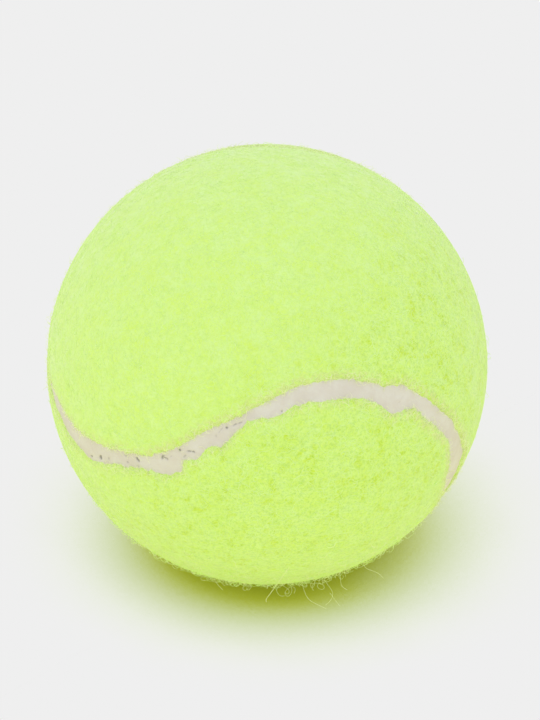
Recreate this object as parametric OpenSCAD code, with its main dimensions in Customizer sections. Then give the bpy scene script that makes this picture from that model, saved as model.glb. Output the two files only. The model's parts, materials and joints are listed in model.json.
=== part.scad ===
// Pressurised tennis ball: a two-piece rubber core, two dog-bone felt panels and the seam between them.
// Millimetres, +Z up, origin at the ball's centre. The seam is turned as the ball was lying.

/* [Ball] */
// Diameter over the felt
ball_d = 67; // [64:0.5:74]

/* [Core] */
// Wall of the rubber half-shells
wall_t = 3.3; // [2.5:0.1:4.5]
// Thickness of the cement between the two rims
joint_t = 0.3; // [0.2:0.05:0.6]
// Radius of the bead of cement squeezed out inside the joint
bead_r = 0.9; // [0.5:0.1:1.5]
// Coat of rubber solution that holds the felt
coat_t = 0.2; // [0.1:0.05:0.4]

/* [Felt] */
// Thickness of the felt panels, nap included
felt_t = 3.3; // [2.5:0.1:4]

/* [Seam] */
// Width of the seam between the felt edges
seam_w = 2.6; // [2:0.1:4]
// How far the seam compound lies below the felt's surface
seam_sink = 1.1; // [0.4:0.1:2]
// Width of a panel's waist, from seam line to seam line along the surface
waist_w = 42; // [33:0.5:49]
// Swelling of the panels' round ends
lobe_share = 0.413; // [0.3:0.01:0.5]
// Flattening of the shoulders between waist and end
shoulder_share = -0.023; // [-0.05:0.001:0.02]

/* [Lie of the ball] */
// Turn of the seam about X, first
x_turn_angle = -65; // [-180:1:180]
// Turn of the seam about Y, second
y_turn_angle = -13; // [-90:1:90]
// Turn of the seam about Z, last
z_turn_angle = -104; // [-180:1:180]

/* [Hidden] */
$fn = 180;
ball_r = ball_d / 2;
felt_base_r = ball_r - felt_t;
core_r = felt_base_r - coat_t;
core_inner_r = core_r - wall_t;
seam_top_r = ball_r - seam_sink;

// Half the angle across the waist, and half the seam's width, both seen from the centre
waist_angle = waist_w / ball_d * 180 / PI;
seam_half_angle = seam_w / ball_d * 180 / PI;
rise_share = (1 - lobe_share - shoulder_share) / tan(waist_angle);

// The panel sector: rows run across the panel from seam to seam, and each row has its own steps
sector_rows = 72;
row_steps = 8;
sector_reach_share = 1.1;
sector_r = ball_r * sector_reach_share;
panel_end_angle = -45;
seam_steps = 2 * sector_rows;

// The seam's line as a direction from the centre, and the direction in which it runs, at angle t
function seam_line(t) = [
    cos(t) + lobe_share * cos(3 * t) + shoulder_share * cos(5 * t),
    sin(t) - lobe_share * sin(3 * t) + shoulder_share * sin(5 * t),
    rise_share * sin(2 * t)
];
function seam_course(t) = [
    -sin(t) - 3 * lobe_share * sin(3 * t) - 5 * shoulder_share * sin(5 * t),
    cos(t) - 3 * lobe_share * cos(3 * t) + 5 * shoulder_share * cos(5 * t),
    2 * rise_share * cos(2 * t)
];
function unit(v) = v / norm(v);

// An edge of the seam: its line moved by half the seam's width, to side 1 or side -1
function seam_edge(t, side) =
    unit(seam_line(t)) * cos(seam_half_angle)
    + unit(cross(seam_line(t), seam_course(t))) * side * sin(seam_half_angle);

// Row k starts on one edge of the panel and ends on its mirror image across the panel's long axis
function row_angle(k) = k * 180 / sector_rows;
function row_point(k, j) =
    let(
        from = seam_edge(panel_end_angle + row_angle(k), 1),
        to = seam_edge(panel_end_angle - row_angle(k), 1)
    )
    sector_r * unit(from + (to - from) * j / row_steps);

// Point numbers: 0 is the centre, then the near tip, the rows and the far tip
function grid_number(k, j) =
    k == 0 ? 1
    : k == sector_rows ? 2 + (sector_rows - 1) * (row_steps + 1)
    : 2 + (k - 1) * (row_steps + 1) + j;

// The solid angle that one panel fills, from the centre to beyond the felt
module panel_sector() {
    points = concat(
        [[0, 0, 0], row_point(0, 0)],
        [for (k = [1 : sector_rows - 1], j = [0 : row_steps]) row_point(k, j)],
        [row_point(sector_rows, 0)]
    );
    cover_near = [
        for (k = [0 : sector_rows - 2], j = [0 : row_steps - 1])
            [grid_number(k, j), grid_number(k + 1, j), grid_number(k + 1, j + 1)]
    ];
    cover_far = [
        for (k = [1 : sector_rows - 1], j = [0 : row_steps - 1])
            [grid_number(k, j), grid_number(k + 1, j + 1), grid_number(k, j + 1)]
    ];
    sides = [
        for (k = [0 : sector_rows - 1], j = [0, row_steps])
            j == 0
            ? [0, grid_number(k + 1, j), grid_number(k, j)]
            : [0, grid_number(k, j), grid_number(k + 1, j)]
    ];
    polyhedron(points = points, faces = concat(cover_near, cover_far, sides), convexity = 6);
}

// The second panel is the first one turned half a turn about the seam's own X axis
module other_panel_sector() {
    rotate([180, 0, 0]) panel_sector();
}

// The closed ring between the two panels' sectors, from inside the core to beyond the felt
module seam_sector() {
    corners = [[core_inner_r, -1], [sector_r, -1], [sector_r, 1], [core_inner_r, 1]];
    points = [
        for (k = [0 : seam_steps - 1], corner = corners)
            corner[0] * seam_edge(panel_end_angle + k * 360 / seam_steps, corner[1])
    ];
    faces = [
        for (k = [0 : seam_steps - 1], c = [0 : 3])
            let(here = 4 * k, next = 4 * ((k + 1) % seam_steps), d = (c + 1) % 4)
                [here + c, here + d, next + d, next + c]
    ];
    triangles = [for (f = faces, half = [0, 1]) half == 0 ? [f[0], f[1], f[2]] : [f[0], f[2], f[3]]];
    polyhedron(points = points, faces = triangles, convexity = 8);
}

module lie_of_the_ball() {
    rotate([x_turn_angle, y_turn_angle, z_turn_angle]) children();
}

module round_shell(outer_r, inner_r) {
    difference() {
        sphere(r = outer_r);
        sphere(r = inner_r);
    }
}

// One moulded cup of the core, open downwards, with its rim at half the joint's thickness
module half_shell() {
    difference() {
        round_shell(core_r, core_inner_r);
        translate([-ball_r, -ball_r, -ball_d + joint_t / 2])
            cube([ball_d, ball_d, ball_d]);
    }
}

module upper_half_shell() {
    color("dimgray") half_shell();
}

module lower_half_shell() {
    color("slategray") mirror([0, 0, 1]) half_shell();
}

module core_joint_cement() {
    color("sienna") union() {
        intersection() {
            round_shell(core_r, core_inner_r);
            translate([-ball_r, -ball_r, -joint_t / 2])
                cube([ball_d, ball_d, joint_t]);
        }
        intersection() {
            sphere(r = core_inner_r);
            rotate_extrude()
                translate([core_inner_r, 0])
                    circle(r = bead_r);
        }
    }
}

module cover_cement_coat() {
    color("wheat") round_shell(felt_base_r, core_r);
}

module upper_felt_panel() {
    color("greenyellow") lie_of_the_ball() intersection() {
        round_shell(ball_r, felt_base_r);
        panel_sector();
    }
}

module lower_felt_panel() {
    color("yellowgreen") lie_of_the_ball() intersection() {
        round_shell(ball_r, felt_base_r);
        other_panel_sector();
    }
}

module seam_rubber() {
    color("gainsboro") lie_of_the_ball() intersection() {
        round_shell(seam_top_r, felt_base_r);
        seam_sector();
    }
}

lower_half_shell();
upper_half_shell();
core_joint_cement();
cover_cement_coat();
lower_felt_panel();
upper_felt_panel();
seam_rubber();
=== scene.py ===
"""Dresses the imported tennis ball: felt panels, their nap, the sunk seam and a plain pale studio.

The file is laid out as an add-on and is run as a script. Lengths are in metres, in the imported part's frame.
"""

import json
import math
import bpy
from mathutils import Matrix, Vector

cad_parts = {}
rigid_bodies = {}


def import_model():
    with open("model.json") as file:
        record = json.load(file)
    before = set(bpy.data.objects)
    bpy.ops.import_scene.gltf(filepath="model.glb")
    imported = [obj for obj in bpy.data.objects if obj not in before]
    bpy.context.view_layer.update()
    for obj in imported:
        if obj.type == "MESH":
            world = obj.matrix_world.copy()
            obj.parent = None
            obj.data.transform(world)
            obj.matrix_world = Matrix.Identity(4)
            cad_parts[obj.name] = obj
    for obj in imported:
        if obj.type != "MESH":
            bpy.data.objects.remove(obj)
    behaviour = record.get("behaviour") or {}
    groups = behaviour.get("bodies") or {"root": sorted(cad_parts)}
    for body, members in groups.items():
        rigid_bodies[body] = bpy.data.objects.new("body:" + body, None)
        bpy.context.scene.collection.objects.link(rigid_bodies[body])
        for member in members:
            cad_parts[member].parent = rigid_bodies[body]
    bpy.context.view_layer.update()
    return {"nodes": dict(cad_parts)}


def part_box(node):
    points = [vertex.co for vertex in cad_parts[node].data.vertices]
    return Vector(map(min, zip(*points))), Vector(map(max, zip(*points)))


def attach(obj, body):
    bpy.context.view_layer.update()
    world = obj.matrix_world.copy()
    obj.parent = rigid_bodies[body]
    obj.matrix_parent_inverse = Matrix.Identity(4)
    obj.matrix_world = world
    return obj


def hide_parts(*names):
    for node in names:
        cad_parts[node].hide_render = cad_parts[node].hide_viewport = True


bl_info = {
    "name": "Tennis ball dresser",
    "version": (1, 0, 0),
    "blender": (4, 5, 0),
    "location": "3D View > Sidebar > Ball",
    "description": "Felt panels, nap, seam and studio for a tennis ball",
    "category": "Object",
}

import bmesh
import bpy
import numpy as np
from bpy.props import FloatProperty, FloatVectorProperty, IntProperty, PointerProperty
from mathutils import Euler, Vector
from mathutils.kdtree import KDTree

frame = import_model()

MM = 0.001
PANELS = ("upper", "lower")
PANEL_BOXES = [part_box(panel + "_felt_panel") for panel in PANELS]
BALL_R = max(box[1].x for box in PANEL_BOXES)
FLOOR_Z = min(box[0].z for box in PANEL_BOXES)
FELT_BASE_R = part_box("cover_cement_coat")[1].x

# The photograph's height, and how far the ball lies left of its middle and below it, in its pixels
PICTURE_HEIGHT = 720
LEFT_OF_MIDDLE = 2.85
BELOW_MIDDLE = 4.15

# The seam's two edges: degrees along the seam, then how far the upper panel's edge and the lower panel's
# edge lie from the seam's line, in millimetres. The rows from -42 to 58 degrees follow the photograph. The
# rows from -138 to -79 and from -56 to -45 take the seam behind the ball's outline, where it shows none.
SEAM_EDGES = (
    (-150, 1.2, 1.2), (-138, -0.8, 2.8), (-127, -4.2, 5.9), (-118, -5.7, 7.2), (-106, -5.9, 7.4),
    (-95, -4.9, 6.5), (-87, -2.9, 4.6), (-79, -0.8, 2.8), (-70, 0.6, 1.6), (-56, -2.2, 3.4),
    (-50, -3.3, 4.6), (-45, -2.8, 4.3), (-42, -1.3, 3.8), (-39, -0.3, 3.3), (-36, 0.0, 3.45),
    (-33, 0.2, 3.35), (-31, 0.65, 3.5), (-28, 0.95, 2.4), (-25, 1.25, 1.3), (-22, 1.4, 1.25),
    (-18, 1.0, 1.3), (-16, 0.75, 2.0), (-13, 0.9, 2.95), (-10.3, 0.85, 2.75), (-9, 0.8, 1.55),
    (-6, 0.9, 2.0), (-3, 1.15, 1.4), (-1.5, 1.0, 1.3), (0, 1.15, 2.2), (3, 0.75, 1.65),
    (7.5, 0.5, 0.75), (10.5, 0.65, 1.15), (12, 0.7, 1.8), (15, 0.8, 1.85), (18, 1.3, 1.25),
    (22.5, 1.5, 1.4), (27, 1.7, 1.3), (30, 1.6, 1.0), (33, 1.25, 1.4), (35.5, 2.2, 2.4),
    (37.5, 2.0, 1.1), (39, 2.0, 0.3), (42, 1.65, 0.85), (46.5, 1.8, 0.75), (48, 1.5, 0.7),
    (51, 1.6, 1.9), (54, 2.0, 3.3), (58, 1.2, 3.4), (70, 1.2, 1.2),
)

# How frayed and bleached the felt is beside the seam: degrees along the seam, then the upper panel's
# share and the lower panel's.
FRAY_SHARES = (
    (-70, 0.5, 0.4), (-36, 0.6, 0.3), (-24, 0.9, 0.3), (-8, 0.9, 0.25), (15, 0.9, 0.2), (19, 0.8, 0.4),
    (33, 0.8, 0.6), (36, 0.9, 1.0), (43, 1.0, 1.6), (52, 1.0, 1.6), (70, 0.5, 0.4),
)

# Nicks in the seam compound: degrees along the seam, millimetres towards the upper panel, then the
# length and the width in millimetres, the turn from the seam's course in degrees, and the strength.
SEAM_NICKS = (
    (-30.6, -2.7, 0.6, 0.45, 40, 0.6), (-29, -0.9, 0.4, 0.3, 0, 0.3), (-28.4, -1.6, 1.0, 0.55, 80, 0.9),
    (-26.4, -0.85, 0.6, 0.35, 60, 0.5), (-22, 0.75, 1.0, 0.7, 20, 0.4), (-21.9, -0.45, 0.6, 0.35, 0, 0.45),
    (-19.6, -0.9, 0.5, 0.4, 0, 0.4), (-19.2, 0.25, 1.1, 0.5, 120, 0.8), (-16.4, -0.6, 0.4, 0.3, 20, 0.3),
    (-12.9, 0.15, 1.0, 0.45, 40, 0.8), (-12.2, -0.25, 0.7, 0.35, 130, 0.7), (-11, -0.1, 0.7, 0.3, 0, 0.35),
    (-8.4, 0.3, 0.45, 0.4, 90, 0.9), (-8, -0.85, 0.8, 0.5, 30, 0.4), (-6.6, -0.4, 0.8, 0.35, -30, 0.6),
    (-5.9, -0.75, 0.9, 0.25, -40, 0.7), (-1.7, -0.8, 0.5, 0.25, 60, 0.25), (0.4, -0.35, 0.6, 0.4, 60, 0.35),
    (2, 0.1, 1.2, 0.3, 20, 0.4), (3.3, -0.05, 0.4, 0.35, 0, 1.0), (5.1, -0.25, 0.9, 0.3, 0, 0.5),
    (6.2, -0.4, 1.0, 0.3, -5, 0.45), (14.2, -0.9, 0.8, 0.2, 20, 0.2), (15, -1.4, 0.3, 0.3, 0, 0.8),
    (20, 0, 0.9, 0.25, 60, 0.2), (21.7, 0, 0.7, 0.2, 120, 0.15), (36.2, -0.3, 0.35, 0.3, 0, 0.3),
    (36.5, 0.6, 0.5, 0.25, 40, 0.25), (45, -0.2, 0.5, 0.25, 30, 0.2),
)

# Long fibres that stand off the ball's lower part, the longest and thickest first. Each is a run of
# points, in millimetres across, down and towards the camera from the ball's centre.
STRAY_FIBRES = (
    ((3.3, 30.0, 15.2), (1.8, 32.2, 13.2), (0.4, 34.3, 10.9), (-0.3, 35.3, 9.6), (-0.1, 35.5, 9.3)),
    ((-8.0, 32.4, 3.0), (-7.6, 33.1, 3.2), (-7.2, 33.6, 3.2), (-6.7, 34.1, 3.0)),
    ((5.2, 32.9, 4.0), (5.6, 34.3, 4.2), (6.2, 35.5, 4.2), (7.4, 36.2, 4.0), (8.9, 36.9, 3.4)),
    ((8.6, 32.6, 3.0), (9.6, 33.8, 3.4), (10.0, 34.8, 3.6), (9.5, 35.9, 3.4), (8.8, 36.4, 3.0)),
    ((9.5, 34.6, 2.0), (10.1, 35.5, 2.2), (11.0, 36.6, 2.0)),
    ((11.0, 31.6, 2.4), (11.1, 32.6, 3.0), (11.2, 33.7, 3.0), (12.1, 34.1, 2.6)),
    ((14.4, 29.8, 3.0), (14.7, 30.8, 3.2), (15.9, 31.2, 3.0), (17.0, 31.7, 2.4), (17.6, 32.4, 2.0)),
)

# Curls of the same kind: millimetres across and down to a curl's middle, its radius and its turns.
STRAY_CURLS = (
    (-3.0, 33.7, 0.55, 1.5), (2.4, 34.2, 0.8, 1.2), (3.4, 34.3, 0.75, 1.3), (5.6, 33.3, 0.5, 1.6),
    (6.8, 33.2, 0.6, 1.4), (7.9, 33.6, 0.7, 1.3), (8.3, 32.7, 0.5, 1.7), (9.2, 32.5, 0.45, 1.5),
    (11.3, 31.9, 0.5, 1.2), (12.0, 31.3, 0.45, 1.4), (16.7, 28.8, 0.6, 1.3), (17.3, 28.5, 0.45, 1.6),
    (-6.2, 33.0, 0.4, 1.4), (-9.4, 32.4, 0.45, 1.3),
)

# The floor's colours, from under the ball out to the open floor: how open the place is, and its colour
SHADOW_STOPS = (
    (0.0, (0.10, 0.12, 0.004)),
    (0.22, (0.19, 0.23, 0.01)),
    (0.29, (0.25, 0.295, 0.014)),
    (0.35, (0.34, 0.395, 0.02)),
    (0.38, (0.40, 0.463, 0.045)),
    (0.43, (0.50, 0.585, 0.185)),
    (0.48, (0.578, 0.662, 0.34)),
    (0.53, (0.655, 0.728, 0.455)),
    (0.58, (0.74, 0.79, 0.585)),
    (0.63, (0.80, 0.84, 0.70)),
    (0.67, (0.845, 0.866, 0.785)),
    (0.72, (0.860, 0.866, 0.835)),
)


def length_setting(name, description, millimetres):
    """A length that a user can change."""
    return FloatProperty(name=name, description=description, default=millimetres * MM, subtype="DISTANCE")


def colour_setting(name, description, colour):
    """A colour that a user can change."""
    return FloatVectorProperty(
        name=name, description=description, default=colour, subtype="COLOR", min=0, max=1
    )


class BallForm(bpy.types.PropertyGroup):
    """The ball's sizes and the course of its seam, the same as in the part's source"""

    waist_width: length_setting(
        "Waist width", "Width of a panel's waist, from seam line to seam line along the surface", 42
    )
    lobe_share: FloatProperty(name="Lobe share", description="Swelling of the panels' ends", default=0.413)
    shoulder_share: FloatProperty(
        name="Shoulder share", description="Flattening of the panels' shoulders", default=-0.023
    )
    turn: FloatVectorProperty(
        name="Turn",
        description="How the seam is turned about X, Y and then Z",
        default=tuple(math.radians(a) for a in (-65, -13, -104)),
        subtype="EULER",
    )
    seam_half_width: length_setting(
        "Seam half width", "From the seam's line to either panel, where the photograph doesn't show it", 1.2
    )
    seam_sink: length_setting("Seam sink", "How far the seam compound lies below the felt's surface", 0.5)


class FeltLook(bpy.types.PropertyGroup):
    """The felt's relief and colours"""

    nap_rise: length_setting(
        "Nap rise", "How far the ball's surface stands over the felt's dense part", 0.15
    )
    swell_height: length_setting("Swell height", "Height of the broad swells", 0.06)
    tuft_height: length_setting("Tuft height", "Height of the tufts", 0.05)
    curl_height: length_setting("Curl height", "Height of the matted curls", 0.02)
    deep_colour: colour_setting("Deep colour", "Felt between the tufts", (0.675, 0.925, 0.165))
    pale_colour: colour_setting("Pale colour", "Felt on the matted curls", (0.70, 0.94, 0.38))
    # The pit colour is painted shade for the small pits between threads.
    pit_shade_colour: colour_setting("Pit colour", "Felt in the small pits between threads", (0.60, 0.825, 0.07))
    edge_colour: colour_setting("Edge colour", "Bleached felt beside the seam", (0.70, 0.82, 0.31))


class NapLook(bpy.types.PropertyGroup):
    """The fibres that stand on the felt"""

    pieces: IntProperty(name="Pieces", description="Pieces of nap on each panel", default=3, min=1)
    fibres: IntProperty(name="Fibres", description="Fibres in each piece", default=4550, min=10)
    fringe_fibres: IntProperty(
        name="Fringe fibres", description="Frayed fibres along each panel's edge", default=3000, min=10
    )
    loose_curls: IntProperty(
        name="Loose curls", description="Curls that stand off each panel", default=1150, min=10
    )
    fibre_radius: length_setting("Fibre radius", "Half the thickness of a fibre", 0.042)
    yellow_tone: colour_setting("Yellow tone", "The most yellow fibres", (0.655, 0.90, 0.195))
    pale_tone: colour_setting("Pale tone", "The palest fibres", (0.735, 0.955, 0.41))
    tan_tone: colour_setting("Tan tone", "The darkest worn threads beside the seam", (0.645, 0.765, 0.225))
    cream_tone: colour_setting("Cream tone", "The palest worn threads, and loose ones", (0.86, 0.945, 0.58))
    fringe_tone: colour_setting("Fringe tone", "The darkest fibres over the seam", (0.82, 0.90, 0.48))
    white_tone: colour_setting("White tone", "The palest fibres over the seam", (0.94, 0.98, 0.70))


class SeamLook(bpy.types.PropertyGroup):
    """The seam compound's surface"""

    bump_height: length_setting("Bump height", "Height of the compound's bumps", 0.16)
    nick_depth: length_setting("Nick depth", "Depth of the nicks and pits", 0.22)
    colour: colour_setting("Colour", "The clean compound", (0.74, 0.708, 0.69))
    nick_colour: colour_setting("Nick colour", "The grey in the nicks", (0.34, 0.32, 0.31))


class StageLook(bpy.types.PropertyGroup):
    """The camera, the light and the floor"""

    distance: length_setting("Distance", "From the camera to the ball's centre", 600)
    elevation: FloatProperty(
        name="Elevation",
        description="The camera's height in degrees",
        default=math.radians(32),
        subtype="ANGLE",
    )
    lens: FloatProperty(name="Lens", description="Focal length", default=197.6, unit="CAMERA")
    backdrop: FloatProperty(
        name="Backdrop",
        description="How pale the camera sees the floor and backdrop",
        default=0.863,
        min=0,
        max=1,
        subtype="FACTOR",
    )
    sky: FloatProperty(name="Sky", description="Strength of the even light from above", default=0.97)
    floor_glow: FloatProperty(
        name="Floor glow", description="How pale the floor is that the ball's underside sees", default=1.04
    )
    lamp: FloatProperty(name="Lamp", description="Power of the soft lamp", default=0.6, unit="POWER")


def add_node(tree, kind, inputs=None, **settings):
    """Adds a node, sets it up, and fills or links its inputs by their names or numbers."""
    made = tree.nodes.new(kind)
    for name, value in settings.items():
        setattr(made, name, value)
    for key, value in (inputs or {}).items():
        if isinstance(value, bpy.types.NodeSocket):
            tree.links.new(value, made.inputs[key])
        else:
            made.inputs[key].default_value = value
    return made


def node_out(tree, kind, inputs=None, **settings):
    """The first output of a new node."""
    return add_node(tree, kind, inputs, **settings).outputs[0]


def work_out(tree, operation, *values):
    """The output of a math node."""
    return node_out(tree, "ShaderNodeMath", dict(enumerate(values)), operation=operation)


def vector_out(tree, operation, *values):
    """The output of a vector math node."""
    return node_out(tree, "ShaderNodeVectorMath", dict(enumerate(values)), operation=operation)


def scaled(tree, vector, size):
    """A vector times a number."""
    return node_out(tree, "ShaderNodeVectorMath", {0: vector, "Scale": size}, operation="SCALE")


def summed(tree, *pairs):
    """The sum of the products of pairs of numbers."""
    total = 0.0
    for first, second in pairs:
        total = work_out(tree, "MULTIPLY_ADD", first, second, total)
    return total


def ramp(tree, value, low, high, start=0.0, end=1.0):
    """A number taken smoothly from one range to another."""
    inputs = {"Value": value, "From Min": low, "From Max": high, "To Min": start, "To Max": end}
    return node_out(tree, "ShaderNodeMapRange", inputs, interpolation_type="SMOOTHSTEP")


def unit(vectors):
    """Vectors brought to length 1."""
    return vectors / np.linalg.norm(vectors, axis=-1, keepdims=True)


def seam_course(t):
    """At angles t along the seam: the directions from the centre, and those aside to the upper panel."""
    form = bpy.context.scene.ball_form
    lobe = form.lobe_share
    shoulder = form.shoulder_share
    rise = (1 - lobe - shoulder) / math.tan(form.waist_width / (2 * BALL_R))
    line = (
        np.cos(t) + lobe * np.cos(3 * t) + shoulder * np.cos(5 * t),
        np.sin(t) - lobe * np.sin(3 * t) + shoulder * np.sin(5 * t),
        rise * np.sin(2 * t),
    )
    course = (
        -np.sin(t) - 3 * lobe * np.sin(3 * t) - 5 * shoulder * np.sin(5 * t),
        np.cos(t) - 3 * lobe * np.cos(3 * t) + 5 * shoulder * np.cos(5 * t),
        2 * rise * np.cos(2 * t),
    )
    line = np.stack(line, -1)
    aside = np.cross(line, np.stack(course, -1))
    turn = np.array(Euler(form.turn).to_matrix()).T
    return unit(line) @ turn, unit(aside) @ turn


def table_at(table, degrees, side, scale=1):
    """A table's values at angles along the seam, from the upper panel's column or the lower one's."""
    rows = np.array(table)
    column = 1 if side > 0 else 2
    return np.interp(degrees, rows[:, 0], rows[:, column] * scale)


def ripple(t, seed, slowest, fastest, height):
    """A seeded wave round the seam, made of whole waves so that it closes, of the given mean height."""
    draws = 60
    weakest = 0.3
    rng = np.random.default_rng(seed)
    counts = np.unique(rng.integers(slowest, fastest, draws))
    turns = rng.uniform(0, 2 * math.pi, len(counts))
    heights = rng.uniform(weakest, 1, len(counts)) / np.sqrt(counts)
    waves = np.sin(np.multiply.outer(t, counts) + turns) @ heights
    return waves * height / np.sqrt(np.sum(heights**2) / 2)


def seam_width(t, side):
    """How far the panel on side 1 or -1 stays from the seam's line at angles t."""
    seen = 70
    fading = 15
    degrees = np.degrees(t)
    outside = (degrees < SEAM_EDGES[0][0]) | (degrees > SEAM_EDGES[-1][0])
    width = table_at(SEAM_EDGES, degrees, side, MM)
    width = np.where(outside, bpy.context.scene.ball_form.seam_half_width, width)
    unseen = np.clip((np.abs(degrees) - seen) / fading, 0, 1)
    width = width + unseen * ripple(t, 11 + side, slowest=4, fastest=30, height=0.12 * MM)
    return width + ripple(t, 21 + side, slowest=60, fastest=420, height=0.09 * MM)


def fray_share(inside, along, side):
    """How frayed a panel is at distances inside its edge, at angles along the seam."""
    reach = 2.2 * MM
    fading = 1.9 * MM
    near = np.clip((reach - inside) / fading, 0, 1)
    return near * near * (3 - 2 * near) * table_at(FRAY_SHARES, np.degrees(along), side)


def seam_places(directions):
    """For directions from the centre: the angle of the seam's nearest point, how far they lie to its side 1,
    and the direction towards it."""
    samples = 4096
    angles = np.linspace(-math.pi, math.pi, samples, endpoint=False)
    line, aside = seam_course(angles)
    finder = KDTree(samples)
    for number, place in enumerate(line):
        finder.insert(place, number)
    finder.balance()
    nearest = np.array([finder.find(d)[1] for d in directions])
    turn = np.arccos(np.clip(np.sum(directions * line[nearest], -1), -1, 1))
    way = np.sign(np.sum(directions * aside[nearest], -1))
    return angles[nearest], turn * way * BALL_R, unit(line[nearest] - directions * np.cos(turn)[:, None])


def round_ball(divisions):
    """An evenly divided ball of radius 1, with each point's place beside the seam."""
    shape = bmesh.new()
    bmesh.ops.create_icosphere(shape, subdivisions=divisions, radius=1)
    mesh = bpy.data.meshes.new("round_ball")
    shape.to_mesh(mesh)
    shape.free()
    directions = np.zeros(len(mesh.vertices) * 3)
    mesh.vertices.foreach_get("co", directions)
    faces = np.zeros(len(mesh.polygons) * 3, int)
    mesh.polygons.foreach_get("vertices", faces)
    bpy.data.meshes.remove(mesh)
    directions = unit(directions.reshape(-1, 3))
    along, across, toward = seam_places(directions)
    return {
        "directions": directions,
        "faces": faces.reshape(-1, 3),
        "along": along,
        "across": across,
        "toward": toward,
    }


def open_edges(faces):
    """The edges that only one face has, each in its face's own direction."""
    edges = np.concatenate([faces[:, [0, 1]], faces[:, [1, 2]], faces[:, [2, 0]]])
    count = int(faces.max()) + 1
    codes = edges[:, 0] * count + edges[:, 1]
    back = edges[:, 1] * count + edges[:, 0]
    return edges[~np.isin(codes, back)]


def cut_ball(ball, side, skirt):
    """The part of a round ball inside a panel's edge, with its rim as one closed row of points."""
    inside = side * ball["across"] - seam_width(ball["along"], side)
    kept = inside > -skirt
    while True:
        faces = ball["faces"][kept[ball["faces"]].all(1)]
        rim = open_edges(faces)
        starts, counts = np.unique(rim[:, 0], return_counts=True)
        crossed = starts[counts > 1]
        if not len(crossed):
            break
        kept[crossed] = False
    following = dict(rim.tolist())
    first = int(starts[np.argmin(ball["along"][starts])])
    row = [first]
    while following[row[-1]] != first:
        row.append(following[row[-1]])
    if len(row) != len(rim):
        raise RuntimeError("a felt panel's rim isn't one closed row")
    return {"inside": inside, "faces": faces, "rim": np.array(row)}


def wall_between(outer, inner, outer_angle, inner_angle):
    """Triangles between two closed rows of points that run the same way round."""
    places = []
    for angle in (outer_angle, inner_angle):
        run = np.unwrap(np.append(angle, angle[0]))
        run[-1] = run[0] + 2 * math.pi * np.sign(run[len(run) // 2] - run[0])
        places.append(run * np.sign(run[-1] - run[0]))
    faces = []
    i = 0
    j = 0
    while i < len(outer) or j < len(inner):
        take_outer = j == len(inner) or (i < len(outer) and places[0][i + 1] <= places[1][j + 1])
        here = outer[i % len(outer)]
        there = inner[j % len(inner)]
        if take_outer:
            i += 1
            faces.append((outer[i % len(outer)], here, there))
        else:
            j += 1
            faces.append((there, inner[j % len(inner)], here))
    return np.array(faces)


def mesh_of(name, points, faces, values):
    """A mesh of triangles or quads with the given values at its points."""
    mesh = bpy.data.meshes.new(name)
    mesh.from_pydata(points.tolist(), [], faces.tolist())
    for key, numbers in values.items():
        kind, field = ("FLOAT", "value") if numbers.ndim == 1 else ("FLOAT_VECTOR", "vector")
        layer = mesh.attributes.new(key, kind, "POINT")
        layer.data.foreach_set(field, numbers.astype(np.float32).ravel())
    mesh.update()
    return mesh


def panel_mesh(name, side, fine, coarse):
    """A closed felt panel: a fine skin, a plain back on the cement, and a wall between them."""
    look = bpy.context.scene.felt_look
    skin = cut_ball(fine, side, skirt=0.45 * MM)
    back = cut_ball(coarse, side, skirt=0.2 * MM)
    used = np.unique(skin["faces"])
    used_back = np.unique(back["faces"])
    number = np.zeros(len(fine["directions"]), int)
    number[used] = np.arange(len(used))
    number_back = np.zeros(len(coarse["directions"]), int)
    number_back[used_back] = len(used) + np.arange(len(used_back))
    wall = wall_between(
        number[skin["rim"]],
        number_back[back["rim"]],
        fine["along"][skin["rim"]],
        coarse["along"][back["rim"]],
    )
    skin_points = fine["directions"][used] * (BALL_R - look.nap_rise)
    points = np.concatenate([skin_points, coarse["directions"][used_back] * FELT_BASE_R])
    faces = np.concatenate([number[skin["faces"]], number_back[back["faces"]][:, ::-1], wall])
    inside = skin["inside"][used]
    on_back = np.zeros(len(used_back))
    values = {
        "inside": np.append(inside, on_back),
        "fray": np.append(fray_share(inside, fine["along"][used], side), on_back),
        "skin": np.append(np.ones(len(used)), on_back),
        "toward_seam": np.concatenate([fine["toward"][used], coarse["toward"][used_back]]),
    }
    return mesh_of(name, points, faces, values)


def new_shape_tree(name, *sizes, seeded=False):
    """A geometry tree with its inputs: the named sizes, a seed where it is random, and a material."""
    kinds = dict.fromkeys(sizes, "Float")
    if seeded:
        kinds["Seed"] = "Int"
    kinds["Material"] = "Material"
    tree = bpy.data.node_groups.new(name, "GeometryNodeTree")
    tree.interface.new_socket("Geometry", in_out="INPUT", socket_type="NodeSocketGeometry")
    for label, kind in kinds.items():
        tree.interface.new_socket(label, in_out="INPUT", socket_type="NodeSocket" + kind)
    tree.interface.new_socket("Geometry", in_out="OUTPUT", socket_type="NodeSocketGeometry")
    return tree, tree.nodes.new("NodeGroupInput").outputs


def end_shape_tree(tree, given, geometry, smooth=True):
    """Ends a tree with real geometry, its shading and its material."""
    real = node_out(tree, "GeometryNodeRealizeInstances", {"Geometry": geometry})
    shaded = node_out(tree, "GeometryNodeSetShadeSmooth", {"Geometry": real, "Shade Smooth": smooth})
    dressed = node_out(tree, "GeometryNodeSetMaterial", {"Geometry": shaded, "Material": given["Material"]})
    add_node(tree, "NodeGroupOutput", {"Geometry": dressed})
    return tree


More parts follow.
